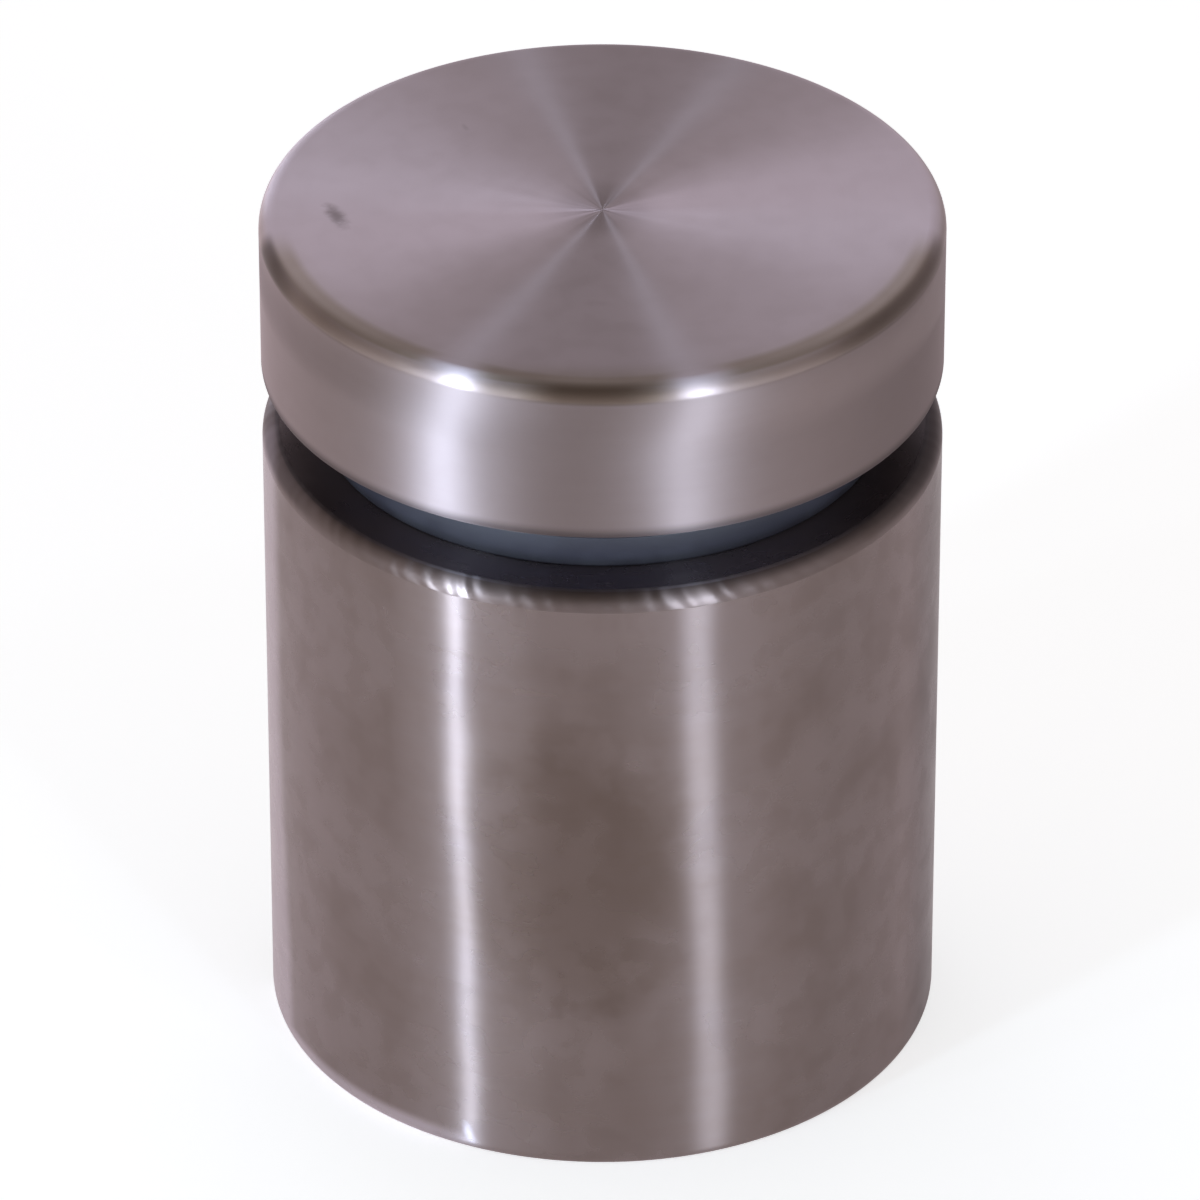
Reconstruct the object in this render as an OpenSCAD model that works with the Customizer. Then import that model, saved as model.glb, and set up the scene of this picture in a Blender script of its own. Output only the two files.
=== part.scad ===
// Glass panel standoff. A turned steel barrel screws to a wall fixing, and a
// round cap on a threaded stud clamps a glass panel between two rubber gaskets.
// The turning axis is Z. The barrel's wall face is at z = 0 and the cap is on top.
// It is shown closed, with the two gaskets touching and no glass between them.

/* [Barrel] */
// Diameter of the barrel and of the cap
body_d = 50; // [46:1:60]
// Length of the barrel, from the wall face to the glass face
barrel_len = 50; // [50:1:100]
// Radius of the rounded edge at the glass end of the barrel
barrel_front_edge = 1.2; // [0.2:0.1:1.5]
// Radius of the rounded edge at the wall end of the barrel
barrel_back_edge = 0.8; // [0.2:0.1:1.5]

/* [Cap] */
// Thickness of the cap
cap_t = 12.5; // [12:0.5:20]
// Radius of the rounded rim around the face of the cap
cap_rim = 1.2; // [0.2:0.1:2]
// Radius of the rounded edge on the underside of the cap
cap_under_edge = 0.4; // [0.2:0.1:1]

/* [Threads] */
// Major diameter of the stud and of the wall thread
thread_d = 12; // [10:1:12]
// Advance of the thread for each turn
thread_pitch = 1.75; // [1.5:0.05:1.75]
// Threaded depth of the hole in the wall end of the barrel
wall_thread_len = 16; // [10:1:16]
// Threaded depth of the hole in the glass end of the barrel
stud_thread_len = 26; // [24:1:26]
// Radial play between the stud and the barrel's thread
thread_play = 0.05; // [0.01:0.01:0.1]

/* [Stud] */
// Whole length of the stud
stud_len = 36; // [32:1:36]
// Length of the stud that is screwed into the cap
stud_in_cap = 9; // [8:0.5:9]
// Size of the hexagon socket in the free end, across its flats
socket_af = 6; // [4:1:6]
// Depth of the hexagon socket
socket_depth = 6; // [3:0.5:8]

/* [Gaskets and sleeve] */
// Diameter of the two rubber gaskets
gasket_d = 41.5; // [30:0.5:44]
// Thickness of each gasket
gasket_t = 2.5; // [1.5:0.5:3]
// Diameter of the hole in each gasket
gasket_bore_d = 16; // [15.6:0.1:20]
// Outer diameter of the plastic sleeve that keeps the glass off the stud
sleeve_d = 15.4; // [14.6:0.1:15.4]
// Radial play between the sleeve and the stud
sleeve_play = 0.3; // [0.1:0.1:0.3]
// Play between the end of the sleeve and the cap
sleeve_end_play = 0.2; // [0.1:0.1:0.5]

/* [Hidden] */
$fn = 128;
skin = 0.5;
body_r = body_d / 2;
thread_r = thread_d / 2;
hole_mouth = 0.7;
drill_point_angle = 118;
tap_drill_r = (thread_d - thread_pitch) / 2;
drill_point_len = tap_drill_r / tan(drill_point_angle / 2);
stud_end_chamfer = 1;
cap_z = barrel_len + 2 * gasket_t;
stud_top = cap_z + stud_in_cap;
stud_bottom = stud_top - stud_len;
steel = [0.51, 0.47, 0.48];
bright_steel = [0.62, 0.61, 0.61];
rubber = [0.22, 0.23, 0.28];
nylon = [0.88, 0.87, 0.83];

// What a turning tool takes off a square corner: all outside a quarter circle.
module corner_waste(edge) {
    difference() {
        square(edge + skin);
        circle(edge);
    }
}

// A turned disc or bar on the Z axis, with its lower and upper edges rounded.
module turned_disc(r, h, lower, upper) {
    rotate_extrude()
        difference() {
            square([r, h]);
            translate([r - upper, h - upper]) corner_waste(upper);
            translate([r - lower, lower]) mirror([0, 1]) corner_waste(lower);
        }
}

// A hole of radius r that runs up from z = 0, with a countersunk mouth.
module round_hole(r, depth) {
    translate([0, 0, -skin]) cylinder(r = r, h = depth + skin);
    cylinder(r1 = r + hole_mouth, r2 = r, h = hole_mouth);
    translate([0, 0, -skin]) cylinder(r = r + hole_mouth, h = skin);
}

// A blind tapped hole that runs up from z = 0, with the point of its tap drill.
module tapped_hole(r, depth) {
    round_hole(r, depth);
    translate([0, 0, depth]) cylinder(r1 = tap_drill_r, r2 = 0, h = drill_point_len);
}

// A rubber washer, cut square, standing on z = 0.
module gasket() {
    color(rubber)
        difference() {
            cylinder(d = gasket_d, h = gasket_t);
            translate([0, 0, -skin]) cylinder(d = gasket_bore_d, h = gasket_t + 2 * skin);
        }
}

// A solid turned bar with a tapped hole in each end and a web of steel between them.
module barrel() {
    color(steel)
        difference() {
            turned_disc(body_r, barrel_len, barrel_back_edge, barrel_front_edge);
            tapped_hole(thread_r, wall_thread_len);
            translate([0, 0, barrel_len]) mirror([0, 0, 1])
                tapped_hole(thread_r + thread_play, stud_thread_len);
        }
}

// The gasket that lies on the glass face of the barrel.
module barrel_gasket() {
    translate([0, 0, barrel_len]) gasket();
}

// The gasket under the cap.
module cap_gasket() {
    translate([0, 0, barrel_len + gasket_t]) gasket();
}

// The sleeve stands on the barrel, around the stud and inside both gaskets.
module sleeve() {
    sleeve_len = 2 * gasket_t - sleeve_end_play;
    color(nylon)
        translate([0, 0, barrel_len])
            difference() {
                cylinder(d = sleeve_d, h = sleeve_len);
                translate([0, 0, -skin])
                    cylinder(r = thread_r + sleeve_play, h = sleeve_len + 2 * skin);
            }
}

// A turned disc with a flat-bottomed hole in its underside, which the stud is fixed in.
module cap() {
    color(steel)
        translate([0, 0, cap_z])
            difference() {
                turned_disc(body_r, cap_t, cap_under_edge, cap_rim);
                round_hole(thread_r + thread_play, stud_in_cap);
            }
}

// The outline of the stud's rod: a cylinder with both ends chamfered.
module stud_rod() {
    c = stud_end_chamfer;
    cylinder(r1 = thread_r - c, r2 = thread_r, h = c);
    translate([0, 0, c]) cylinder(r = thread_r, h = stud_len - 2 * c);
    translate([0, 0, stud_len - c]) cylinder(r1 = thread_r, r2 = thread_r - c, h = c);
}

// The threaded stud: fixed in the cap, and turned into the barrel with it.
module stud() {
    color(bright_steel)
        translate([0, 0, stud_bottom])
            difference() {
                stud_rod();
                translate([0, 0, -skin])
                    linear_extrude(socket_depth + skin)
                        circle(r = socket_af / (2 * cos(30)), $fn = 6);
            }
}

barrel();
barrel_gasket();
sleeve();
cap_gasket();
cap();
stud();
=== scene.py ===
"""Looks of the glass panel standoff: turned and brushed steel, rubber gaskets and a threaded stud.

The standoff stands on its wall end. Its axis is Z, its front faces -Y, and sizes are in metres.
"""

import math

import bpy
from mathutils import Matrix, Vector


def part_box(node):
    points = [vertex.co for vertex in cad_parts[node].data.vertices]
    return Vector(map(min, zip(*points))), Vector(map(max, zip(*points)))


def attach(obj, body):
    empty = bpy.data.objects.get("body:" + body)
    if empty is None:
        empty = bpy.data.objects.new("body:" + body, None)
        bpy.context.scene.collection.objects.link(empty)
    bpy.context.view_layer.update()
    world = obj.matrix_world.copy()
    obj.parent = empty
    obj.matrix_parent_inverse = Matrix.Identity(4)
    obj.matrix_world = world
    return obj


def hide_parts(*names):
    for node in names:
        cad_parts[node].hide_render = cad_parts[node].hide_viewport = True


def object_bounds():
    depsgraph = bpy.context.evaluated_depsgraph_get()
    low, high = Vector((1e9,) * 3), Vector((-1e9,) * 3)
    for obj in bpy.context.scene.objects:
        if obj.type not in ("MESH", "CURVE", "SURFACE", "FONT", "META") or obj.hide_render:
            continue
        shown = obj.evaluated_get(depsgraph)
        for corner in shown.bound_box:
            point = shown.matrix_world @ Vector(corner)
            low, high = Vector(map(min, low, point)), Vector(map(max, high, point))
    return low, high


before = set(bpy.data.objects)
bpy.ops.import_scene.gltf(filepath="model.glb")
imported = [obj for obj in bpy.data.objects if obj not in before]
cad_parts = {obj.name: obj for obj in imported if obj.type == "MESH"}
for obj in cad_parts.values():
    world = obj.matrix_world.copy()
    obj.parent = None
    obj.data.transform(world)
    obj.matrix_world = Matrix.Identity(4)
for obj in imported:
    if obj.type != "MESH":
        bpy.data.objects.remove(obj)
cad_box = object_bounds()

# ---------------------------------------------------------------- sizes

MM = 0.001
BARREL_LOW, BARREL_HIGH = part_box("barrel")
CAP_LOW, CAP_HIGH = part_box("cap")
LOWER_GASKET_LOW, LOWER_GASKET_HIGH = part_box("barrel_gasket")
UPPER_GASKET_LOW, UPPER_GASKET_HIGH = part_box("cap_gasket")
SLEEVE_LOW, SLEEVE_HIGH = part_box("sleeve")
STUD_LOW, STUD_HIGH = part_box("stud")
CENTRE = (cad_box[0] + cad_box[1]) / 2

BODY_R = BARREL_HIGH.x
BARREL_EDGE = 1.2 * MM
BARREL_FOOT_EDGE = 0.8 * MM
CAP_RIM = 1.2 * MM
CAP_UNDER_EDGE = 0.4 * MM

# A metric thread on a rod is 0.6134 of its pitch deep, and one in a hole is 0.54 of it.
THREAD_R = STUD_HIGH.x
THREAD_PITCH = 1.75 * MM
THREAD_ROOT_R = THREAD_R - 0.6134 * THREAD_PITCH
THREAD_CREST_R = THREAD_R - 0.54 * THREAD_PITCH
THREAD_PLAY = 0.05 * MM
TAP_DRILL_R = THREAD_R - THREAD_PITCH / 2
DRILL_HALF_ANGLE = math.radians(59)
DRILL_POINT = TAP_DRILL_R / math.tan(DRILL_HALF_ANGLE)
HOLE_MOUTH = 0.7 * MM
WALL_THREAD_LEN = 16 * MM
STUD_THREAD_LEN = 26 * MM
STUD_CHAMFER = 1 * MM
SOCKET_FLATS = 6 * MM
SOCKET_DEPTH = 6 * MM

GASKET_BORE_R = 8 * MM
GASKET_EDGE = 0.2 * MM
SLEEVE_BORE_R = THREAD_R + 0.3 * MM
SLEEVE_CHAMFER = 0.3 * MM

SEGMENTS = 256
THREAD_STEPS = 72
MERGE = 0.01 * MM
# Beside each rounded edge runs one more loop, which keeps the edge's shading off the flat.
SUPPORT = 0.08 * MM
# The stud's blank is a little wider than its thread, and the wall thread's ridge starts inside the steel.
BLANK_PLAY = 0.02 * MM
RIDGE_SINK = 0.03 * MM

# ---------------------------------------------------------------- finish of both steel pieces

# Turning marks have so many cells to a radian round the axis, and so many to a metre across them.
# Depths of bump are in millimetres.
BRUSH_AROUND = 5.0
BRUSH_ACROSS = 5000.0
BRUSH_DEPTH = 0.002
WAVE_AROUND = 4.0
WAVE_ACROSS = 150.0
WAVE_DEPTH = 0.05
CUTS_ROUND = 96
CUT_LEAN = 0.6
CUT_DEPTH = 0.04
PIT_DEPTH = 0.05
PIT_SLANT = -0.54
PIT_SLIMNESS = 1.9

# Slopes across the front, which move the bright lines aside. The barrel's two slopes make them lean.
BARREL_FOOT_SLOPE = 0.04
BARREL_TOP_SLOPE = -0.013
CAP_SLOPE = -0.047

# The two places, X and Y, where the lamps shine on a rounded edge.
LIT_PLACES = ((-10.9 * MM, -22.2 * MM), (7.0 * MM, -23.7 * MM))
EDGE_TINT = (0.95, 0.87, 0.89, 1)

# ---------------------------------------------------------------- finish of the barrel, with its painted light and shade

BARREL_CLEAN = (0.207, 0.158, 0.152, 1)
BARREL_SOILED = (0.168, 0.12, 0.104, 1)
BARREL_STREAK = (0.23, 0.185, 0.19, 1)
# Painted light: a lighter tone for the front of the barrel's upper edge.
BARREL_EDGE_PAINTED_LIGHT = (0.36, 0.29, 0.29, 1)
# Painted shade for the ends of the upper edge.
BARREL_EDGE_SHADE = (0.03, 0.025, 0.025, 1)
# Painted shade for the barrel's right side.
BARREL_SIDE_SHADE = (0.04, 0.03, 0.028, 1)
# Painted shade for the top of the barrel, where the gap shades it.
BARREL_TOP_SHADE = (0.03, 0.027, 0.03, 1)
# Painted light for the lower left edge and the left side.
BARREL_PAINTED_LIGHT = (0.42, 0.35, 0.38, 1)
BARREL_ROUGH = 0.24
BARREL_EDGE_ROUGH = 0.36
# Painted light in the middle of the flat glass end, and painted shade towards its sides.
GLASS_END_PAINTED_LIGHT = (0.42, 0.37, 0.42, 1)
GLASS_END_PAINTED_SHADE = (0.07, 0.06, 0.065, 1)
# A darker ragged patch on the middle of the barrel's front.
FRONT_PATCH_COLOUR = (0.105, 0.07, 0.055, 1)
FRONT_PATCH_X = -2 * MM
FRONT_PATCH_Z = 25 * MM
FRONT_PATCH_WIDTH = 8.5 * MM
FRONT_PATCH_HEIGHT = 12 * MM
# A small nick, painted lighter as a bright glint.
NICK_GLINT_COLOUR = (0.42, 0.37, 0.41, 1)
NICK_X = -9.9 * MM
NICK_Z = 1.6 * MM
NICK_SIZE = 0.9 * MM

# ---------------------------------------------------------------- finish of the cap, with its painted reflections and shade

CAP_CLEAN = (0.535, 0.453, 0.494, 1)
CAP_SOILED = (0.49, 0.408, 0.435, 1)
CAP_STREAK = (0.571, 0.489, 0.535, 1)
CAP_WALL_TINT = (0.832, 0.784, 0.723, 1)
# Painted shade for the foot of the cap's wall, above the gap.
CAP_FOOT_SHADE = (0.3, 0.29, 0.3, 1)
# Painted shade for the right side of the cap's wall.
CAP_SIDE_SHADE = (0.1, 0.08, 0.08, 1)
CAP_WALL_ROUGH = 0.6
CAP_FACE_ROUGH = 0.4
CAP_RIM_ROUGH = 0.37
# Painted reflections on the front of the cap's rim: a brown line with painted shade on the face beside it,
# and a darker band lower on the rim. Both stop short of the lamps' bright spots.
RIM_BROWN = (0.22, 0.165, 0.07, 1)
RIM_DARK = (0.2, 0.145, 0.12, 1)
# Painted shade for the ends of the rim's front.
RIM_ENDS_SHADE = (0.04, 0.028, 0.022, 1)
RIM_LINE_SHARE = 0.5
RIM_DARK_SHARE = 0.8
RIM_LAMP_REACH = 3.6 * MM
RIM_DARK_X = -0.6 * MM
FACE_SHADE_PLACE = (-0.3 * MM, -24 * MM, CAP_HIGH.z)
PIT_COLOUR = (0.16, 0.13, 0.13, 1)
PIT_X = -19.3 * MM
PIT_Y = -0.9 * MM
PIT_SIZE = 1.55 * MM
SPECK_X = -10.1 * MM
SPECK_Y = 11.9 * MM
SPECK_SIZE = 0.5 * MM

# ---------------------------------------------------------------- finish of the other pieces

STUD_BRIGHT = (0.46, 0.45, 0.44, 1)
STUD_GRIMY = (0.3, 0.285, 0.27, 1)
RUBBER = (0.0215, 0.0195, 0.031, 1)
RUBBER_BLOOM = (0.029, 0.0265, 0.0405, 1)
# Painted shade for the lower gasket's foot.
RUBBER_FOOT_SHADE = (0.006, 0.005, 0.007, 1)
NYLON = (0.72, 0.7, 0.62, 1)
NYLON_PALE = (0.8, 0.78, 0.71, 1)

# ---------------------------------------------------------------- studio sizes and colours

FLOOR_R = 4.0
FLOOR_DROP = 0.05 * MM
FLOOR_COLOUR = (0.88, 0.88, 0.88, 1)
FLOOR_GLOW = 0.6

WORLD_LEFT = (0.62, 0.6, 0.6, 1)
WORLD_RIGHT = (0.4, 0.38, 0.37, 1)
WORLD_BACK = (0.83, 0.81, 0.86, 1)
WORLD_TOP = (0.31, 0.275, 0.245, 1)
WORLD_FRONT = (0.1, 0.085, 0.06, 1)
# Directions are an azimuth and a rise in degrees: azimuth 0 is the front, and 90 is to the right.
TOP_DIRECTION = (-60, 70)
FRONT_DIRECTION = (-15, 55)

LAVENDER = (0.7, 0.86, 1.0)
LEFT_BLUE = (0.63, 0.82, 1.0)
RIGHT_BLUE = (0.67, 0.84, 1.0)
LAMP_DISTANCE = 0.7
# Each lamp's name, azimuth, rise, width, height, power and colour.
LAMPS = (
    ("left_lamp", -45.2, 1.5, 0.041, 0.06, 2.85, LEFT_BLUE),
    ("right_lamp", 30.5, 1.5, 0.12, 0.06, 1.63, RIGHT_BLUE),
    ("left_glow", -42.5, 1.5, 0.6, 0.06, 1.4, LAVENDER),
    ("right_glow", 30.5, 1.5, 0.6, 0.06, 0.6, LAVENDER),
    ("left_high_lamp", -47.2, 22, 0.03, 0.1, 0.2, LAVENDER),
    ("right_high_lamp", 27.5, 22, 0.03, 0.1, 0.2, LAVENDER),
    ("left_top_lamp", -57, 45, 0.03, 0.06, 0.08, LAVENDER),
    ("right_top_lamp", 40.5, 60, 0.02, 0.06, 0.08, LAVENDER),
    ("back_lamp", -160, 8, 0.3, 0.1, 0.4, LAVENDER),
)

CAMERA_DISTANCE = 0.8
CAMERA_RISE = 32.8
CAMERA_LENS = 323
CAMERA_TARGET = CENTRE + Vector((-0.18 * MM, 0, 0.04 * MM))

# ---------------------------------------------------------------- mesh tools


def edit_mode():
    """Opens the active piece's mesh for the mesh operators."""
    bpy.ops.object.mode_set(mode="EDIT")


def object_mode():
    """Closes the mesh again."""
    bpy.ops.object.mode_set(mode="OBJECT")


def pick(piece):
    """Selects this piece alone and makes it active."""
    bpy.ops.object.select_all(action="DESELECT")
    piece.select_set(True)
    bpy.context.view_layer.objects.active = piece


def quarter(centre_r, centre_z, radius, start, steps=8):
    """Points of a quarter circle, from the angle start, in degrees, to 90 degrees further round."""
    points = []
    for i in range(steps + 1):
        a = math.radians(start + 90 * i / steps)
        points.append((centre_r + radius * math.cos(a), centre_z + radius * math.sin(a)))
    return points


def draw_section(name, points):
    """A new object with a chain of edges through (radius, height) points, left in edit mode."""
    bpy.ops.object.select_all(action="DESELECT")
    bpy.ops.mesh.primitive_plane_add(size=MM)
    piece = bpy.context.object
    piece.name = name
    edit_mode()
    bpy.ops.mesh.merge(type="CENTER")
    here = (0.0, 0.0)
    for i, (r, z) in enumerate(points):
        step = (r - here[0], 0, z - here[1])
        if i:
            bpy.ops.mesh.extrude_vertices_move(TRANSFORM_OT_translate={"value": step})
        else:
            bpy.ops.transform.translate(value=step)
        here = (r, z)
    bpy.ops.mesh.select_all(action="SELECT")
    return piece


def close_mesh():
    """In edit mode: merges what meets and turns every face outwards."""
    bpy.ops.mesh.select_all(action="SELECT")
    bpy.ops.mesh.remove_doubles(threshold=MERGE)
    bpy.ops.mesh.normals_make_consistent(inside=False)


def smooth(piece, angle=30):
    """Smooth shading, except across edges sharper than the angle in degrees."""
    pick(piece)
    bpy.ops.object.shade_smooth_by_angle(angle=math.radians(angle))


def turned(name, points, segments=SEGMENTS):
    """A piece turned on a lathe: its half section, spun round the axis."""
    piece = draw_section(name, points)
    bpy.ops.mesh.spin(steps=segments, angle=math.tau, center=(0, 0, 0), axis=(0, 0, 1))
    close_mesh()
    object_mode()
    smooth(piece)
    return piece


def ring(name, low, high, bore_r, outer_r, edge, steps):
    """A turned ring with all four corners of its section rounded or, with one step, chamfered."""
    points = quarter(outer_r - edge, low + edge, edge, -90, steps)
    points += quarter(outer_r - edge, high - edge, edge, 0, steps)
    points += quarter(bore_r + edge, high - edge, edge, 90, steps)
    points += quarter(bore_r + edge, low + edge, edge, 180, steps)
    return turned(name, points + points[:1])


def combine(piece, tool, operation):
    """Cuts piece with tool, or keeps what they share, and deletes the tool."""
    pick(piece)
    cut = piece.modifiers.new("cut", "BOOLEAN")
    cut.operation = operation
    cut.solver = "EXACT"
    cut.object = tool
    bpy.ops.object.modifier_apply(modifier=cut.name)
    bpy.data.objects.remove(tool)


def wind(piece, turns):
    """Sweeps a section up the thread's helix, from edit mode, and leaves it in edit mode."""
    object_mode()
    pick(piece)
    screw = piece.modifiers.new("thread", "SCREW")
    screw.axis = "Z"
    screw.angle = math.tau
    screw.screw_offset = THREAD_PITCH
    screw.iterations = turns
    screw.steps = screw.render_steps = THREAD_STEPS
    bpy.ops.object.modifier_apply(modifier=screw.name)
    edit_mode()
    close_mesh()


def trim(height, keep_above):
    """In edit mode: cuts the mesh off flat at a height, and closes it there."""
    bpy.ops.mesh.select_all(action="SELECT")
    bpy.ops.mesh.bisect(
        plane_co=(0, 0, height),
        plane_no=(0, 0, -1 if keep_above else 1),
        use_fill=True,
        clear_outer=True,
    )


# ---------------------------------------------------------------- pieces


def make_barrel():
    """A turned bar with a rounded edge at each end, drilled and chamfered from both ends."""
    low, high = BARREL_LOW.z, BARREL_HIGH.z
    foot, edge = BARREL_FOOT_EDGE, BARREL_EDGE
    stud_hole_r = THREAD_R + THREAD_PLAY
    points = [
        (0, low + WALL_THREAD_LEN + DRILL_POINT),
        (TAP_DRILL_R, low + WALL_THREAD_LEN),
        (THREAD_R, low + WALL_THREAD_LEN),
        (THREAD_R, low + HOLE_MOUTH),
        (THREAD_R + HOLE_MOUTH, low),
        (BODY_R - foot - SUPPORT, low),
    ]
    points += quarter(BODY_R - foot, low + foot, foot, -90)
    points += [(BODY_R, low + foot + SUPPORT), (BODY_R, high - edge - SUPPORT)]
    points += quarter(BODY_R - edge, high - edge, edge, 0)
    points += [
        (BODY_R - edge - SUPPORT, high),
        (stud_hole_r + HOLE_MOUTH, high),
        (stud_hole_r, high - HOLE_MOUTH),
        (stud_hole_r, high - STUD_THREAD_LEN),
        (TAP_DRILL_R, high - STUD_THREAD_LEN),
        (0, high - STUD_THREAD_LEN - DRILL_POINT),
    ]
    return turned("turned_barrel", points)


def make_cap():
    """A turned disc with a rounded rim and the stud's blind hole in its underside."""
    low, high = CAP_LOW.z, CAP_HIGH.z
    hole_r = THREAD_R + THREAD_PLAY
    hole_top = STUD_HIGH.z
    points = [
        (0, hole_top),
        (hole_r, hole_top),
        (hole_r, low + HOLE_MOUTH),
        (hole_r + HOLE_MOUTH, low),
        (BODY_R - CAP_UNDER_EDGE - SUPPORT, low),
    ]
    points += quarter(BODY_R - CAP_UNDER_EDGE, low + CAP_UNDER_EDGE, CAP_UNDER_EDGE, -90, 6)
    points += [
        (BODY_R, low + CAP_UNDER_EDGE + SUPPORT),
        (BODY_R, high - CAP_RIM - SUPPORT),
    ]
    points += quarter(BODY_R - CAP_RIM, high - CAP_RIM, CAP_RIM, 0, 10)
    points += [(BODY_R - CAP_RIM - SUPPORT, high), (0, high)]
    return turned("turned_cap", points)


def make_stud():
    """A threaded rod: the helix is trimmed to length, then to a chamfered blank with a socket.

    The helix starts below the rod and ends above it, so that each trim cuts a full thread.
    """
    low, high = STUD_LOW.z, STUD_HIGH.z
    p = THREAD_PITCH
    start = low - 1.5 * p
    tooth = [
        (THREAD_ROOT_R, 0),
        (THREAD_ROOT_R, p / 8),
        (THREAD_R, p * 7 / 16),
        (THREAD_R, p * 9 / 16),
        (THREAD_ROOT_R, p * 7 / 8),
        (THREAD_ROOT_R, p),
    ]
    stud = draw_section("threaded_stud", [(r, start + z) for r, z in tooth])
    wind(stud, math.ceil((high - low) / p) + 3)
    trim(low, keep_above=True)
    trim(high, keep_above=False)
    close_mesh()
    object_mode()

    blank_r = THREAD_R + BLANK_PLAY
    end_r = THREAD_R - STUD_CHAMFER
    blank_section = [
        (0, low),
        (end_r, low),
        (blank_r, low + blank_r - end_r),
        (blank_r, high - blank_r + end_r),
        (end_r, high),
        (0, high),
    ]
    blank = turned("stud_blank", blank_section, THREAD_STEPS)
    bpy.ops.object.select_all(action="DESELECT")
    bpy.ops.mesh.primitive_cylinder_add(
        vertices=6,
        radius=SOCKET_FLATS / 2 / math.cos(math.radians(30)),
        depth=2 * SOCKET_DEPTH,
        location=(0, 0, low),
    )
    combine(blank, bpy.context.object, "DIFFERENCE")
    combine(stud, blank, "INTERSECT")
    smooth(stud, 35)
    return stud


def make_wall_thread():
    """The thread cut in the barrel's wall end, as one ridge wound inside the hole."""
    p = THREAD_PITCH
    start = BARREL_LOW.z + HOLE_MOUTH + p / 2
    length = WALL_THREAD_LEN - HOLE_MOUTH - 1.5 * p
    outer_r = THREAD_R + RIDGE_SINK
    section = [
        (outer_r, start),
        (THREAD_CREST_R, start + p * 5 / 16),
        (THREAD_CREST_R, start + p * 9 / 16),
        (outer_r, start + p * 7 / 8),
        (outer_r, start),
    ]
    ridge = draw_section("wall_thread_ridge", section)
    wind(ridge, int(length / p))
    bpy.ops.mesh.select_all(action="DESELECT")
    bpy.ops.mesh.select_mode(type="EDGE")
    bpy.ops.mesh.select_non_manifold()
    bpy.ops.mesh.fill_holes(sides=4)
    bpy.ops.mesh.select_mode(type="VERT")
    close_mesh()
    object_mode()
    smooth(ridge)
    return ridge


def make_gasket(name, low, high):
    """A flat rubber washer with softened edges."""
    return ring(name, low.z, high.z, GASKET_BORE_R, high.x, GASKET_EDGE, 4)


def make_sleeve():
    """A plastic tube with chamfered ends, which keeps the glass off the stud."""
    low, high = SLEEVE_LOW.z, SLEEVE_HIGH.z
    return ring("nylon_sleeve", low, high, SLEEVE_BORE_R, SLEEVE_HIGH.x, SLEEVE_CHAMFER, 1)


# ---------------------------------------------------------------- node tools

FLOAT, VECTOR = "NodeSocketFloat", "NodeSocketVector"


def add(tree, kind, inputs=None, **settings):
    """A new node, with its settings, and with values or links in its inputs."""
    made = tree.nodes.new(kind)
    for key, value in settings.items():
        setattr(made, key, value)
    for key, value in (inputs or {}).items():
        if isinstance(value, bpy.types.NodeSocket):
            tree.links.new(value, made.inputs[key])
        else:
            made.inputs[key].default_value = value
    return made


def calc(tree, operation, *values):
    """A Math node's result."""
    return add(tree, "ShaderNodeMath", dict(enumerate(values)), operation=operation).outputs[0]


def product(tree, first, *others):
    """Several values multiplied together."""
    result = first
    for value in others:
        result = calc(tree, "MULTIPLY", result, value)
    return result


def total(tree, *parts):
    """The sum of several (value, factor) pairs."""
    result = 0.0
    for value, factor in parts:
        result = calc(tree, "MULTIPLY_ADD", value, factor, result)
    return result


def remap(tree, value, low, high, to_low=0.0, to_high=1.0):
    """A value carried smoothly from one range to another, and held at its ends."""
    inputs = {"Value": value, "From Min": low, "From Max": high, "To Min": to_low, "To Max": to_high}
    made = add(tree, "ShaderNodeMapRange", inputs, interpolation_type="SMOOTHSTEP")
    return made.outputs["Result"]


def strip(tree, value, start, full_from, full_to, end):
    """1 in a strip, from full_from to full_to, that fades to 0 at its start and its end."""
    return product(tree, remap(tree, value, start, full_from), remap(tree, value, end, full_to))


def blend(tree, share, first, second, mode="MIX"):
    """Two colours mixed by a share. A Mix node has its colours in inputs 6 and 7 and output 2."""
    inputs = {0: share, 6: first, 7: second}
    return add(tree, "ShaderNodeMix", inputs, data_type="RGBA", blend_type=mode).outputs[2]


def paint(tree, colour, mask, share, new_colour):
    """A colour with another laid over it where the mask is 1, as strongly as the share says."""
    return blend(tree, product(tree, mask, share), colour, new_colour)


def distance_to(tree, position, place):
    """How far each point is from a place."""
    made = add(tree, "ShaderNodeVectorMath", {0: position, 1: place}, operation="DISTANCE")
    return made.outputs["Value"]


def noise(tree, vector, scale, detail):
    """An uneven value round a half."""
    made = add(tree, "ShaderNodeTexNoise", {"Vector": vector, "Scale": scale, "Detail": detail})
    return made.outputs["Fac"]


def polar(tree, position):
    """A point's x, y and z, and its distance from the axis."""
    x, y, z = add(tree, "ShaderNodeSeparateXYZ", {0: position}).outputs
    square = calc(tree, "ADD", product(tree, x, x), product(tree, y, y))
    return x, y, z, calc(tree, "SQRT", square)


def new_group(name, inputs, outputs):
    """An empty shader node group, with its input sockets and its output node."""
    tree = bpy.data.node_groups.new(name, "ShaderNodeTree")
    for label, kind, value in inputs:
        socket = tree.interface.new_socket(label, in_out="INPUT", socket_type=kind)
        if value is not None:
            socket.default_value = value
    for label in outputs:
        tree.interface.new_socket(label, in_out="OUTPUT", socket_type=FLOAT)
    return tree, tree.nodes.new("NodeGroupInput").outputs, tree.nodes.new("NodeGroupOutput")


def use_group(tree, group, inputs):
    """A node group's outputs, with values or links in its inputs."""
    return add(tree, "ShaderNodeGroup", inputs, node_tree=group).outputs


# ---------------------------------------------------------------- shared effects


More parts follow.
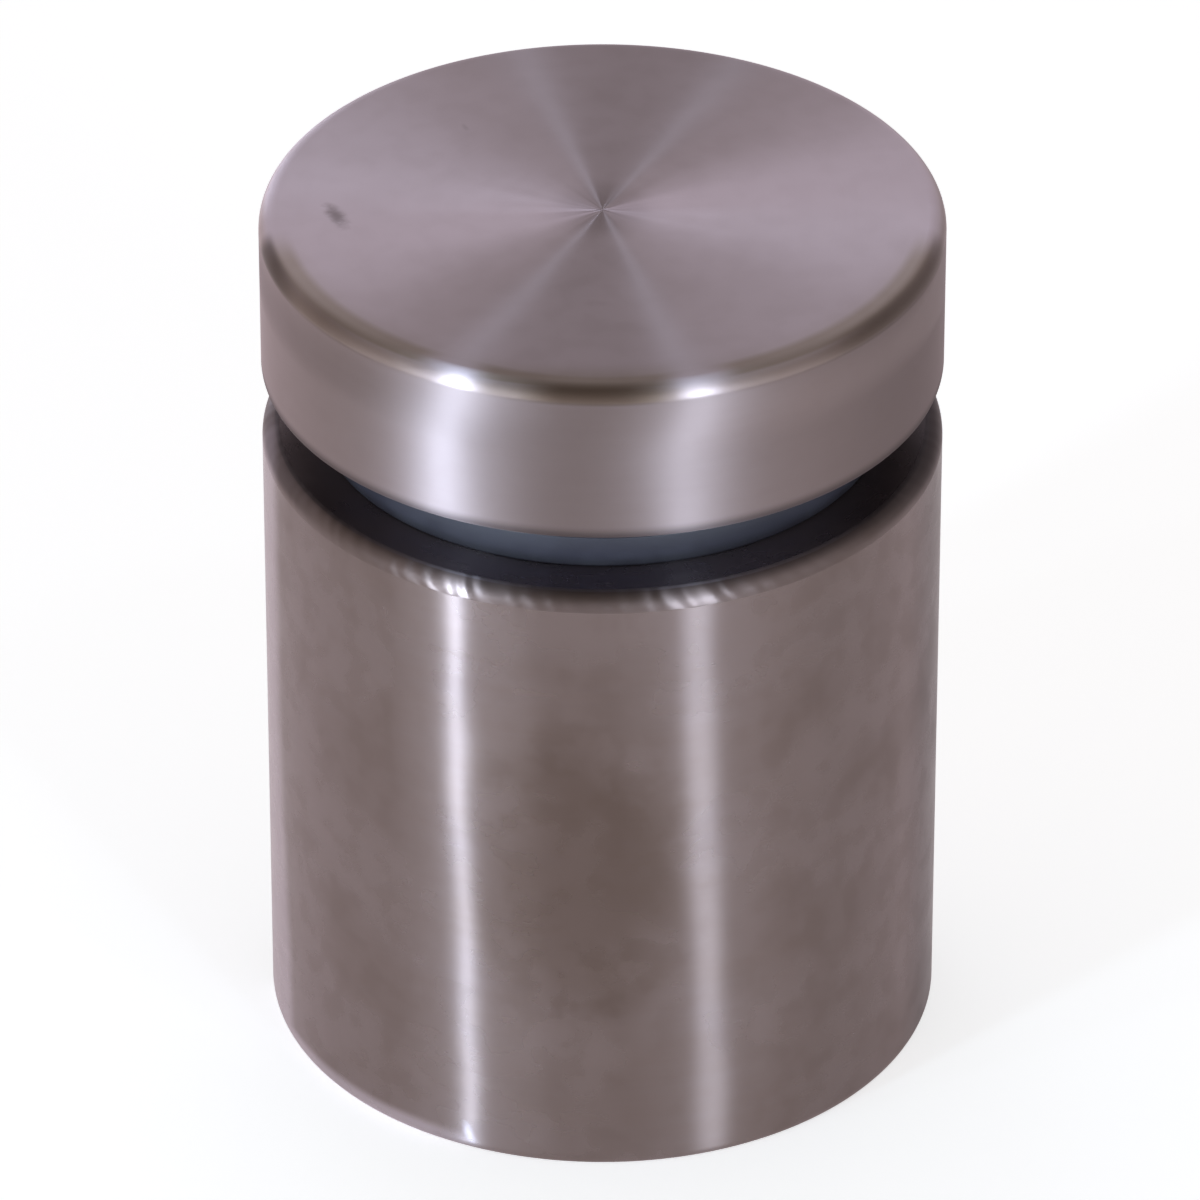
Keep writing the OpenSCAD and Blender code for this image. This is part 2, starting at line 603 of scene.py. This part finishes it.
def turning_marks_group():
    """Fine lines that a tool leaves as the work turns: long round the axis, narrow along it."""
    inputs = [
        ("Position", VECTOR, None),
        ("Around", FLOAT, 3.0),
        ("Across", FLOAT, 6000.0),
        ("Detail", FLOAT, 2.0),
    ]
    tree, given, out = new_group("turning_marks", inputs, ["Height"])
    x, y, z, r = polar(tree, given["Position"])
    safe_r = calc(tree, "MAXIMUM", r, 0.1 * MM)
    lines = {
        0: product(tree, calc(tree, "DIVIDE", x, safe_r), given["Around"]),
        1: product(tree, calc(tree, "DIVIDE", y, safe_r), given["Around"]),
        2: product(tree, calc(tree, "SUBTRACT", z, r), given["Across"]),
    }
    vector = add(tree, "ShaderNodeCombineXYZ", lines).outputs[0]
    texture = {"Vector": vector, "Scale": 1.0, "Detail": given["Detail"], "Roughness": 0.6}
    height = add(tree, "ShaderNodeTexNoise", texture).outputs["Fac"]
    tree.links.new(height, out.inputs["Height"])
    return tree


def cloud_group():
    """Soft irregular patches, from 0 to 1: handling marks and uneven polish. Scale is cells to a metre."""
    inputs = [
        ("Position", VECTOR, None),
        ("Scale", FLOAT, 120.0),
        ("Low", FLOAT, 0.4),
        ("High", FLOAT, 0.65),
    ]
    tree, given, out = new_group("clouds", inputs, ["Mask"])
    texture = {"Vector": given["Position"], "Scale": given["Scale"], "Detail": 2.0, "Roughness": 0.45}
    uneven = add(tree, "ShaderNodeTexNoise", texture).outputs["Fac"]
    mask = remap(tree, uneven, given["Low"], given["High"])
    tree.links.new(mask, out.inputs["Mask"])
    return tree


def rim_group():
    """1 on a rounded outer edge, and 0 on the wall and the flat face that it joins."""
    inputs = [
        ("Position", VECTOR, None),
        ("Radius", FLOAT, BODY_R),
        ("Top", FLOAT, BARREL_HIGH.z),
        ("Width", FLOAT, BARREL_EDGE),
    ]
    tree, given, out = new_group("rim_mask", inputs, ["Mask"])
    _, _, z, r = polar(tree, given["Position"])
    fade = product(tree, given["Width"], 1.1)
    near_wall = calc(tree, "SUBTRACT", given["Radius"], r)
    near_top = calc(tree, "ABSOLUTE", calc(tree, "SUBTRACT", given["Top"], z))
    on_wall = remap(tree, near_wall, given["Width"], fade, 1.0, 0.0)
    on_top = remap(tree, near_top, given["Width"], fade, 1.0, 0.0)
    tree.links.new(product(tree, on_wall, on_top), out.inputs["Mask"])
    return tree


def pit_group():
    """A small dent, longer one way than the other, with a soft ragged edge."""
    inputs = [
        ("Position", VECTOR, None),
        ("Across", FLOAT, 0.0),
        ("Along", FLOAT, 0.0),
        ("Size", FLOAT, MM),
    ]
    tree, given, out = new_group("small_pit", inputs, ["Mask"])
    across = given["Across"]
    slanted = product(tree, given["Along"], PIT_SLANT)
    length = calc(tree, "ADD", across, slanted)
    breadth = product(tree, calc(tree, "SUBTRACT", across, slanted), PIT_SLIMNESS)
    square = calc(tree, "ADD", product(tree, length, length), product(tree, breadth, breadth))
    away = calc(tree, "DIVIDE", calc(tree, "SQRT", square), given["Size"])
    ragged = product(tree, noise(tree, given["Position"], 1800.0, 2.0), 0.7)
    mask = remap(tree, calc(tree, "ADD", away, ragged), 1.75, 0.4)
    tree.links.new(mask, out.inputs["Mask"])
    return tree


TURNING_MARKS = turning_marks_group()
CLOUDS = cloud_group()
RIM = rim_group()
PIT = pit_group()


def marks(tree, position, around, across, detail=2.0):
    """The height of turning marks, from 0 to 1."""
    inputs = {"Position": position, "Around": around, "Across": across, "Detail": detail}
    return use_group(tree, TURNING_MARKS, inputs)["Height"]


def patches(tree, position, scale, low, high):
    """The mask of soft irregular patches."""
    inputs = {"Position": position, "Scale": scale, "Low": low, "High": high}
    return use_group(tree, CLOUDS, inputs)["Mask"]


def pit_at(tree, position, across, across_place, along, along_place, size):
    """The mask of one small dent, at a place measured along two directions."""
    inputs = {
        "Position": position,
        "Across": calc(tree, "SUBTRACT", across, across_place),
        "Along": calc(tree, "SUBTRACT", along, along_place),
        "Size": size,
    }
    return use_group(tree, PIT, inputs)["Mask"]


def lit_spots(tree, position, height, reach):
    """0 at the two bright places on a rounded edge, and 1 away from them."""
    left, right = [distance_to(tree, position, spot + (height,)) for spot in LIT_PLACES]
    return remap(tree, calc(tree, "MINIMUM", left, right), 0.35 * reach, reach)


# ---------------------------------------------------------------- material tools


def new_material(name):
    """A material with its Principled shader and the piece's own coordinates."""
    material = bpy.data.materials.new(name)
    material.use_nodes = True
    tree = material.node_tree
    shader = tree.nodes["Principled BSDF"]
    position = tree.nodes.new("ShaderNodeTexCoord").outputs["Object"]
    return material, tree, shader, position


def set_bump(tree, shader, height, distance=MM):
    """Bump from a height. The default distance makes that height one in millimetres."""
    inputs = {"Height": height, "Distance": distance, "Strength": 1.0}
    bump = add(tree, "ShaderNodeBump", inputs)
    tree.links.new(bump.outputs["Normal"], shader.inputs["Normal"])


def make_brushed(shader):
    """Metal brushed round the axis, which draws each lamp out to a line across the brushing."""
    shader.inputs["Metallic"].default_value = 1.0
    shader.inputs["Anisotropic"].default_value = 1.0
    shader.inputs["Anisotropic Rotation"].default_value = 0.25
    shader.inputs["Specular Tint"].default_value = EDGE_TINT


# ---------------------------------------------------------------- the barrel's steel


def edge_cuts(tree, position, top, width):
    """Small slanting tool cuts round a rounded edge, as a height from 0 to 1."""
    x, y, z, _ = polar(tree, position)
    angle = calc(tree, "ARCTAN2", x, product(tree, y, -1.0))
    turn = product(tree, angle, CUTS_ROUND / math.tau)
    lean = product(tree, calc(tree, "SUBTRACT", z, top), CUT_LEAN / width)
    uneven = noise(tree, position, 200.0, 1.0)
    phase = total(tree, (turn, 1.0), (lean, 1.0), (uneven, 2.0))
    ridge = calc(tree, "PINGPONG", phase, 0.5)
    return product(tree, remap(tree, ridge, 0.0, 0.5), uneven)


def front_patch(tree, x, y, z, smudge, specks):
    """A large ragged darker patch in the middle of the front."""
    across = product(tree, calc(tree, "SUBTRACT", x, FRONT_PATCH_X), 1 / FRONT_PATCH_WIDTH)
    along = product(tree, calc(tree, "SUBTRACT", z, FRONT_PATCH_Z), 1 / FRONT_PATCH_HEIGHT)
    square = calc(tree, "ADD", product(tree, across, across), product(tree, along, along))
    away = total(tree, (square, 1.0), (smudge, -0.35), (specks, -0.15))
    return product(tree, remap(tree, away, 1.2, 0.0), remap(tree, y, 0.0, -0.4 * BODY_R))


def painted_light_edge(tree, position, x, y, edge):
    """The front of the upper edge, away from the two bright spots, where painted light lifts the edge."""
    spots = lit_spots(tree, position, BARREL_HIGH.z, 4 * MM)
    middle = remap(tree, calc(tree, "ABSOLUTE", x), 0.8 * BODY_R, 0.6 * BODY_R)
    return product(tree, edge, spots, middle, remap(tree, y, 0.0, -0.3 * BODY_R))


def shaded_edge_ends(tree, x, edge):
    """Painted shade on the upper edge's left and right ends."""
    left = product(tree, remap(tree, x, -0.8 * BODY_R, -0.93 * BODY_R), 0.8)
    right = remap(tree, x, 0.7 * BODY_R, 0.95 * BODY_R)
    return product(tree, edge, calc(tree, "MAXIMUM", left, right))


def painted_light_left(tree, x, y, z):
    """Painted light on the lower left edge, and on a strip up the left side that widens downwards."""
    foot = remap(tree, z, BARREL_LOW.z + 1.9 * MM, BARREL_LOW.z + 0.95 * MM)
    foot = product(tree, foot, remap(tree, x, -0.3 * BODY_R, -0.62 * BODY_R))
    widening = remap(tree, z, 28 * MM, 5 * MM, 0.0, 0.022 * BODY_R)
    beside = calc(tree, "SUBTRACT", x, widening)
    side = product(tree, remap(tree, beside, -0.94 * BODY_R, -0.972 * BODY_R), 0.9)
    return product(tree, calc(tree, "MAXIMUM", foot, side), remap(tree, y, 0.0, -0.1 * BODY_R))


def barrel_colour(tree, position, smudge, specks, bands, rim):
    """Soiled steel with a darker patch on its front and a nick painted as a glint, with painted light on
    the left side, the foot, the glass end and the front of the upper edge, and painted shade on the right
    side, the top and the ends of the upper edge.
    """
    x, y, z, _ = polar(tree, position)
    aside = calc(tree, "ABSOLUTE", x)
    colour = paint(tree, BARREL_CLEAN, smudge, 0.4, BARREL_SOILED)
    colour = paint(tree, colour, specks, 0.25, BARREL_SOILED)
    colour = paint(tree, colour, bands, 0.3, BARREL_STREAK)
    colour = paint(tree, colour, front_patch(tree, x, y, z, smudge, specks), 0.5, FRONT_PATCH_COLOUR)

    upper = remap(tree, z, BARREL_HIGH.z - 1.1 * MM, BARREL_HIGH.z - 0.5 * MM)
    edge = product(tree, rim, upper)
    # Painted light on the front of the upper edge, away from the lamps' bright spots.
    colour = paint(tree, colour, painted_light_edge(tree, position, x, y, edge), 0.55, BARREL_EDGE_PAINTED_LIGHT)

    # Painted shade: darker towards the right side, and most at its far edge.
    right = remap(tree, x, 0.45 * BODY_R, 0.7 * BODY_R)
    far_right = remap(tree, x, 0.88 * BODY_R, 0.98 * BODY_R)
    colour = blend(tree, total(tree, (right, 0.14), (far_right, 0.56)), colour, BARREL_SIDE_SHADE)

    # Painted shade on the top of the upper edge, darker towards the right.
    top = remap(tree, z, BARREL_HIGH.z - 0.5 * MM, BARREL_HIGH.z - 0.1 * MM)
    top_right = product(tree, remap(tree, x, 0.0, 0.8 * BODY_R), top)
    colour = paint(tree, colour, top_right, 0.4, BARREL_TOP_SHADE)
    # Painted light on the middle of the flat glass end, fading to painted shade at its sides.
    flat = remap(tree, z, BARREL_HIGH.z - 0.06 * MM, BARREL_HIGH.z - 0.01 * MM)
    sides = remap(tree, aside, 0.45 * BODY_R, 0.85 * BODY_R)
    colour = paint(tree, colour, flat, 0.6, blend(tree, sides, GLASS_END_PAINTED_LIGHT, GLASS_END_PAINTED_SHADE))

    # Painted light on the lower left edge and up the left side.
    colour = paint(tree, colour, painted_light_left(tree, x, y, z), 0.9, BARREL_PAINTED_LIGHT)
    # Painted shade on the ends of the upper edge.
    colour = paint(tree, colour, shaded_edge_ends(tree, x, edge), 0.6, BARREL_EDGE_SHADE)
    # A small nick near the foot, painted as a bright glint.
    nick = pit_at(tree, position, x, NICK_X, z, NICK_Z, NICK_SIZE)
    nick = product(tree, nick, remap(tree, y, 0.0, -0.4 * BODY_R))
    return paint(tree, colour, nick, 0.6, NICK_GLINT_COLOUR)


def barrel_height(tree, position, rim):
    """Brushing, tool cuts on the upper edge, and a slope across the front, in millimetres."""
    x, _, z, _ = polar(tree, position)
    fine = marks(tree, position, BRUSH_AROUND, BRUSH_ACROSS)
    waves = marks(tree, position, WAVE_AROUND, WAVE_ACROSS, 0.0)
    cuts = edge_cuts(tree, position, BARREL_HIGH.z, BARREL_EDGE)
    fading = remap(tree, calc(tree, "ABSOLUTE", x), 0.9 * BODY_R, 0.6 * BODY_R, 0.3, 1.0)
    cuts = product(tree, cuts, rim, fading)
    slope = remap(tree, z, BARREL_LOW.z, BARREL_HIGH.z, BARREL_FOOT_SLOPE, BARREL_TOP_SLOPE)
    lean = product(tree, x, 1 / MM, slope)
    return total(tree, (fine, BRUSH_DEPTH), (waves, WAVE_DEPTH), (cuts, CUT_DEPTH), (lean, 1.0))


def barrel_steel():
    """Brushed steel, duller on its upper edge and where it is soiled."""
    material, tree, shader, position = new_material("brushed_barrel_steel")
    make_brushed(shader)
    smudge = patches(tree, position, 110.0, 0.38, 0.66)
    specks = patches(tree, position, 420.0, 0.42, 0.66)
    bands = marks(tree, position, 1.2, 900.0, 3.0)
    edge = {"Position": position, "Radius": BODY_R, "Top": BARREL_HIGH.z, "Width": BARREL_EDGE}
    rim = use_group(tree, RIM, edge)["Mask"]
    colour = barrel_colour(tree, position, smudge, specks, bands, rim)
    tree.links.new(colour, shader.inputs["Base Color"])
    wall = total(tree, (smudge, 0.03), (bands, 0.04), (specks, 0.02))
    wall = calc(tree, "ADD", BARREL_ROUGH, wall)
    rough = remap(tree, rim, 0.0, 1.0, wall, BARREL_EDGE_ROUGH)
    tree.links.new(rough, shader.inputs["Roughness"])
    set_bump(tree, shader, barrel_height(tree, position, rim))
    return material


# ---------------------------------------------------------------- the cap's steel


def cap_zones(tree, z, r):
    """How far a point is from the wall, and masks of the rounded rim and of the face beside it."""
    from_wall = calc(tree, "SUBTRACT", BODY_R, r)
    upper = remap(tree, z, CAP_HIGH.z - 1.2 * CAP_RIM, CAP_HIGH.z - 0.75 * CAP_RIM)
    rounded = product(tree, remap(tree, from_wall, 0.85 * CAP_RIM, 0.35 * CAP_RIM), upper)
    beside = product(tree, remap(tree, from_wall, 3.2 * CAP_RIM, 0.7 * CAP_RIM), upper)
    return from_wall, rounded, beside


def rim_painted_reflections(tree, position, from_wall, beside):
    """Two masks of painted reflection on the front of the rim: a thin brown line with faint painted shade
    on the face inside it, and a darker band lower on the rim.
    """
    x, y, z, _ = polar(tree, position)
    away_from_lamps = lit_spots(tree, position, CAP_HIGH.z - 0.5 * CAP_RIM, RIM_LAMP_REACH)
    front = product(tree, remap(tree, y, -0.1 * BODY_R, -0.3 * BODY_R), away_from_lamps)
    inwards = calc(tree, "SUBTRACT", calc(tree, "ADD", from_wall, z), CAP_HIGH.z)
    line = strip(tree, inwards, -0.04 * MM, 0.54 * MM, 1.5 * MM, 2.6 * MM)
    line = product(tree, line, front, RIM_LINE_SHARE)
    face_shade = remap(tree, distance_to(tree, position, FACE_SHADE_PLACE), 9 * MM, 2 * MM, 0.16, 0.45)
    line = calc(tree, "MAXIMUM", line, product(tree, beside, face_shade, front))

    aside = calc(tree, "ABSOLUTE", calc(tree, "SUBTRACT", x, RIM_DARK_X))
    middle = remap(tree, aside, 5.5 * MM, 2 * MM)
    ends = remap(tree, aside, 14 * MM, 20 * MM)
    dark_reflection = strip(tree, inwards, -1.44 * MM, -0.86 * MM, 0.1 * MM, 1.2 * MM)
    dark_reflection = product(tree, dark_reflection, calc(tree, "MAXIMUM", middle, ends), front, RIM_DARK_SHARE)
    return line, dark_reflection


def shaded_rim_ends(tree, x, y, rounded):
    """Painted shade on the left and right ends of the rim's front, where it turns to the sides."""
    left = remap(tree, x, -0.86 * BODY_R, -0.95 * BODY_R)
    right = product(tree, remap(tree, x, 0.6 * BODY_R, 0.82 * BODY_R), 0.5)
    front = remap(tree, y, -0.1 * BODY_R, -0.2 * BODY_R)
    return product(tree, calc(tree, "MAXIMUM", left, right), rounded, front)


def tinted(tree, colour, tint):
    """A colour multiplied by a tint."""
    return blend(tree, 1.0, colour, tint, "MULTIPLY")


def cap_colour(tree, position, smudge, specks, bands, face):
    """A pale face and a darker wall, with painted reflections and shade on the rim's front, and painted
    shade at the wall's foot and on its right side.
    """
    x, y, z, r = polar(tree, position)
    from_wall, rounded, beside = cap_zones(tree, z, r)
    line, dark_reflection = rim_painted_reflections(tree, position, from_wall, beside)
    foot = remap(tree, z, CAP_LOW.z, CAP_LOW.z + 1.1 * MM)
    colour = paint(tree, CAP_CLEAN, smudge, 0.25, CAP_SOILED)
    colour = paint(tree, colour, specks, 0.15, CAP_SOILED)
    colour = paint(tree, colour, bands, 0.6, CAP_STREAK)
    colour = blend(tree, face, tinted(tree, colour, CAP_WALL_TINT), colour)
    # Painted shade on the lowest 1.1 mm of the wall, above the gap.
    colour = blend(tree, foot, tinted(tree, colour, CAP_FOOT_SHADE), colour)
    # Painted reflections on the rim's front, and painted shade on the face beside it.
    colour = blend(tree, line, colour, RIM_BROWN)
    colour = blend(tree, dark_reflection, colour, RIM_DARK)
    # Painted shade on the ends of the rim's front.
    colour = paint(tree, colour, shaded_rim_ends(tree, x, y, rounded), 0.65, RIM_ENDS_SHADE)
    # Painted shade on the wall, darker towards the right side.
    off_face = calc(tree, "SUBTRACT", 1.0, face)
    right = product(tree, remap(tree, x, 0.5 * BODY_R, BODY_R), off_face)
    return paint(tree, colour, right, 0.45, CAP_SIDE_SHADE)


def cap_rough(tree, position, smudge, specks, bands):
    """Dull on the wall, smoother on the face and the rim, and duller again at the very middle."""
    _, _, z, r = polar(tree, position)
    _, rounded, _ = cap_zones(tree, z, r)
    on_face = remap(tree, z, CAP_HIGH.z - 0.3 * MM, CAP_HIGH.z - 0.02 * MM)
    rough = remap(tree, on_face, 0.0, 1.0, CAP_WALL_ROUGH, CAP_FACE_ROUGH)
    rough = remap(tree, rounded, 0.0, 1.0, rough, CAP_RIM_ROUGH)
    middle = remap(tree, r, 5 * MM, 1 * MM)
    dirt = total(tree, (specks, 0.01), (smudge, 0.01), (bands, 0.03))
    return total(tree, (rough, 1.0), (middle, 0.1), (dirt, 1.0))


def cap_height(tree, position, pit):
    """Brushing, a slope across the front that ends at the face, and a pit, in millimetres."""
    x, _, z, _ = polar(tree, position)
    fine = marks(tree, position, BRUSH_AROUND, BRUSH_ACROSS)
    waves = marks(tree, position, WAVE_AROUND, WAVE_ACROSS, 0.0)
    slope = remap(tree, z, CAP_HIGH.z - 6 * MM, CAP_HIGH.z - 1 * MM, CAP_SLOPE, 0.0)
    lean = product(tree, x, 1 / MM, slope)
    return total(tree, (fine, BRUSH_DEPTH), (waves, WAVE_DEPTH), (lean, 1.0), (pit, -PIT_DEPTH))


def cap_steel():
    """Brushed steel with a pit and a speck on its face."""
    material, tree, shader, position = new_material("brushed_cap_steel")
    make_brushed(shader)
    smudge = patches(tree, position, 150.0, 0.4, 0.68)
    specks = patches(tree, position, 520.0, 0.42, 0.66)
    bands = marks(tree, position, 3.0, 1500.0, 3.0)
    x, y, z, _ = polar(tree, position)
    face = remap(tree, z, CAP_HIGH.z - 0.5 * CAP_RIM, CAP_HIGH.z)
    pit = product(tree, pit_at(tree, position, x, PIT_X, y, PIT_Y, PIT_SIZE), face)
    speck = pit_at(tree, position, x, SPECK_X, y, SPECK_Y, SPECK_SIZE)
    colour = cap_colour(tree, position, smudge, specks, bands, face)
    colour = paint(tree, colour, pit, 0.7, PIT_COLOUR)
    colour = paint(tree, colour, speck, 0.2, PIT_COLOUR)
    tree.links.new(colour, shader.inputs["Base Color"])
    tree.links.new(cap_rough(tree, position, smudge, specks, bands), shader.inputs["Roughness"])
    set_bump(tree, shader, cap_height(tree, position, pit))
    return material


# ---------------------------------------------------------------- stud, rubber and plastic


def stud_steel():
    """Bright steel with grime in places."""
    material, tree, shader, position = new_material("bright_thread_steel")
    grime = patches(tree, position, 300.0, 0.4, 0.7)
    tree.links.new(blend(tree, grime, STUD_BRIGHT, STUD_GRIMY), shader.inputs["Base Color"])
    shader.inputs["Metallic"].default_value = 1.0
    tree.links.new(remap(tree, grime, 0.0, 1.0, 0.26, 0.42), shader.inputs["Roughness"])
    set_bump(tree, shader, marks(tree, position, 2.0, 9000.0), 0.004 * MM)
    return material


def gasket_rubber():
    """Black rubber with a faint bloom, and painted shade at the lower gasket's foot."""
    material, tree, shader, position = new_material("gasket_rubber")
    bloom = patches(tree, position, 420.0, 0.35, 0.75)
    _, _, z, _ = polar(tree, position)
    foot = remap(tree, z, LOWER_GASKET_LOW.z + 1.1 * MM, LOWER_GASKET_LOW.z + 0.1 * MM)
    colour = blend(tree, bloom, RUBBER, RUBBER_BLOOM)
    # Painted shade on the lower gasket's foot.
    colour = paint(tree, colour, foot, 0.75, RUBBER_FOOT_SHADE)
    tree.links.new(colour, shader.inputs["Base Color"])
    tree.links.new(remap(tree, bloom, 0.0, 1.0, 0.5, 0.62), shader.inputs["Roughness"])
    set_bump(tree, shader, noise(tree, position, 9000.0, 2.0), 0.005 * MM)
    return material


def sleeve_nylon():
    """Off-white plastic that lets a little light in."""
    material, tree, shader, position = new_material("sleeve_nylon")
    tint = patches(tree, position, 250.0, 0.3, 0.8)
    tree.links.new(blend(tree, tint, NYLON, NYLON_PALE), shader.inputs["Base Color"])
    shader.inputs["Roughness"].default_value = 0.4
    shader.inputs["Subsurface Weight"].default_value = 0.15
    shader.inputs["Subsurface Radius"].default_value = (1.0, 0.9, 0.7)
    shader.inputs["Subsurface Scale"].default_value = 0.5 * MM
    set_bump(tree, shader, marks(tree, position, 2.0, 4000.0), 0.01 * MM)
    return material


# ---------------------------------------------------------------- studio


def around(centre, azimuth, rise, distance):
    """A place seen from the centre."""
    a, e = math.radians(azimuth), math.radians(rise)
    away = Vector((math.sin(a) * math.cos(e), -math.cos(a) * math.cos(e), math.sin(e)))
    return centre + away * distance


def aim(thing, place, target):
    """Puts a lamp or camera in its place and turns it to its target."""
    thing.location = place
    thing.rotation_mode = "QUATERNION"
    thing.rotation_quaternion = (Vector(target) - Vector(place)).to_track_quat("-Z", "Y")


def make_floor():
    """A plain pale floor. Where a camera or a reflection sees it, its own glow lifts it towards white."""
    bpy.ops.object.select_all(action="DESELECT")
    bpy.ops.mesh.primitive_circle_add(vertices=96, radius=FLOOR_R, fill_type="NGON")
    floor = bpy.context.object
    floor.name = "floor"
    edit_mode()
    bpy.ops.transform.translate(value=(0, 0, -FLOOR_DROP))
    object_mode()
    material, tree, shader, _ = new_material("pale_floor")
    shader.inputs["Base Color"].default_value = FLOOR_COLOUR
    shader.inputs["Roughness"].default_value = 0.9
    shader.inputs["Specular IOR Level"].default_value = 0.0
    rays = tree.nodes.new("ShaderNodeLightPath").outputs
    seen = calc(tree, "MAXIMUM", rays["Is Camera Ray"], rays["Is Glossy Ray"])
    seen = calc(tree, "MAXIMUM", seen, rays["Is Transmission Ray"])
    shader.inputs["Emission Color"].default_value = (1, 1, 1, 1)
    tree.links.new(product(tree, seen, FLOOR_GLOW), shader.inputs["Emission Strength"])
    floor.data.materials.append(material)


def towards(tree, direction, place, edge, full):
    """1 in directions near a place in the sky, and 0 outside its soft edge, both given as cosines."""
    pole = around(Vector(), *place, 1.0)
    made = add(tree, "ShaderNodeVectorMath", {0: direction, 1: pole}, operation="DOT_PRODUCT")
    return remap(tree, made.outputs["Value"], edge, full)


def make_world():
    """A studio: pale behind the standoff, duller to the right, and dark high up over the front."""
    world = bpy.data.worlds.new("studio")
    bpy.context.scene.world = world
    world.use_nodes = True
    tree = world.node_tree
    direction = tree.nodes.new("ShaderNodeTexCoord").outputs["Generated"]
    across, depth, _ = add(tree, "ShaderNodeSeparateXYZ", {0: direction}).outputs
    colour = blend(tree, remap(tree, across, -0.8, 0.8), WORLD_LEFT, WORLD_RIGHT)
    back = product(tree, remap(tree, depth, 0.1, 0.8), remap(tree, across, 0.1, 0.6, 1.0, 0.3))
    colour = blend(tree, back, colour, WORLD_BACK)
    colour = blend(tree, towards(tree, direction, TOP_DIRECTION, 0.5, 0.85), colour, WORLD_TOP)
    colour = blend(tree, towards(tree, direction, FRONT_DIRECTION, 0.72, 0.95), colour, WORLD_FRONT)
    background = tree.nodes["Background"]
    tree.links.new(colour, background.inputs["Color"])
    background.inputs["Strength"].default_value = 1.0


def make_lamp(name, azimuth, rise, width, height, power, colour):
    """An oval soft lamp, aimed at the middle of the standoff."""
    light = bpy.data.lights.new(name, "AREA")
    light.shape = "ELLIPSE"
    light.size = width
    light.size_y = height
    light.energy = power
    light.color = colour
    lamp = bpy.data.objects.new(name, light)
    bpy.context.scene.collection.objects.link(lamp)
    lamp.visible_camera = False
    aim(lamp, around(CENTRE, azimuth, rise, LAMP_DISTANCE), CENTRE)


def make_camera():
    """A long lens, looking down on the cap."""
    camera = bpy.data.cameras.new("camera")
    camera.sensor_width = 36
    camera.lens = CAMERA_LENS
    camera.clip_start = 0.01
    seat = bpy.data.objects.new("camera", camera)
    bpy.context.scene.collection.objects.link(seat)
    aim(seat, around(CAMERA_TARGET, 0, CAMERA_RISE, CAMERA_DISTANCE), CAMERA_TARGET)
    bpy.context.scene.camera = seat


# ---------------------------------------------------------------- assembly


def dress(piece, body, material, replaced=None):
    """Gives a finished piece its material and its body, and hides the CAD node that it stands for, if any.
    """
    piece.data.materials.clear()
    piece.data.materials.append(material)
    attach(piece, body)
    if replaced:
        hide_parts(replaced)


make_camera()
bpy.context.scene.view_settings.view_transform = "Standard"

barrel_material = barrel_steel()
rubber_material = gasket_rubber()
lower_gasket = make_gasket("lower_gasket", LOWER_GASKET_LOW, LOWER_GASKET_HIGH)
upper_gasket = make_gasket("upper_gasket", UPPER_GASKET_LOW, UPPER_GASKET_HIGH)

dress(make_barrel(), "base", barrel_material, "barrel")
dress(make_wall_thread(), "base", barrel_material)
dress(lower_gasket, "base", rubber_material, "barrel_gasket")
dress(make_sleeve(), "base", sleeve_nylon(), "sleeve")
dress(upper_gasket, "gasket_carriage", rubber_material, "cap_gasket")
dress(make_cap(), "cap_and_stud", cap_steel(), "cap")
dress(make_stud(), "cap_and_stud", stud_steel(), "stud")

make_floor()
make_world()
for lamp in LAMPS:
    make_lamp(*lamp)
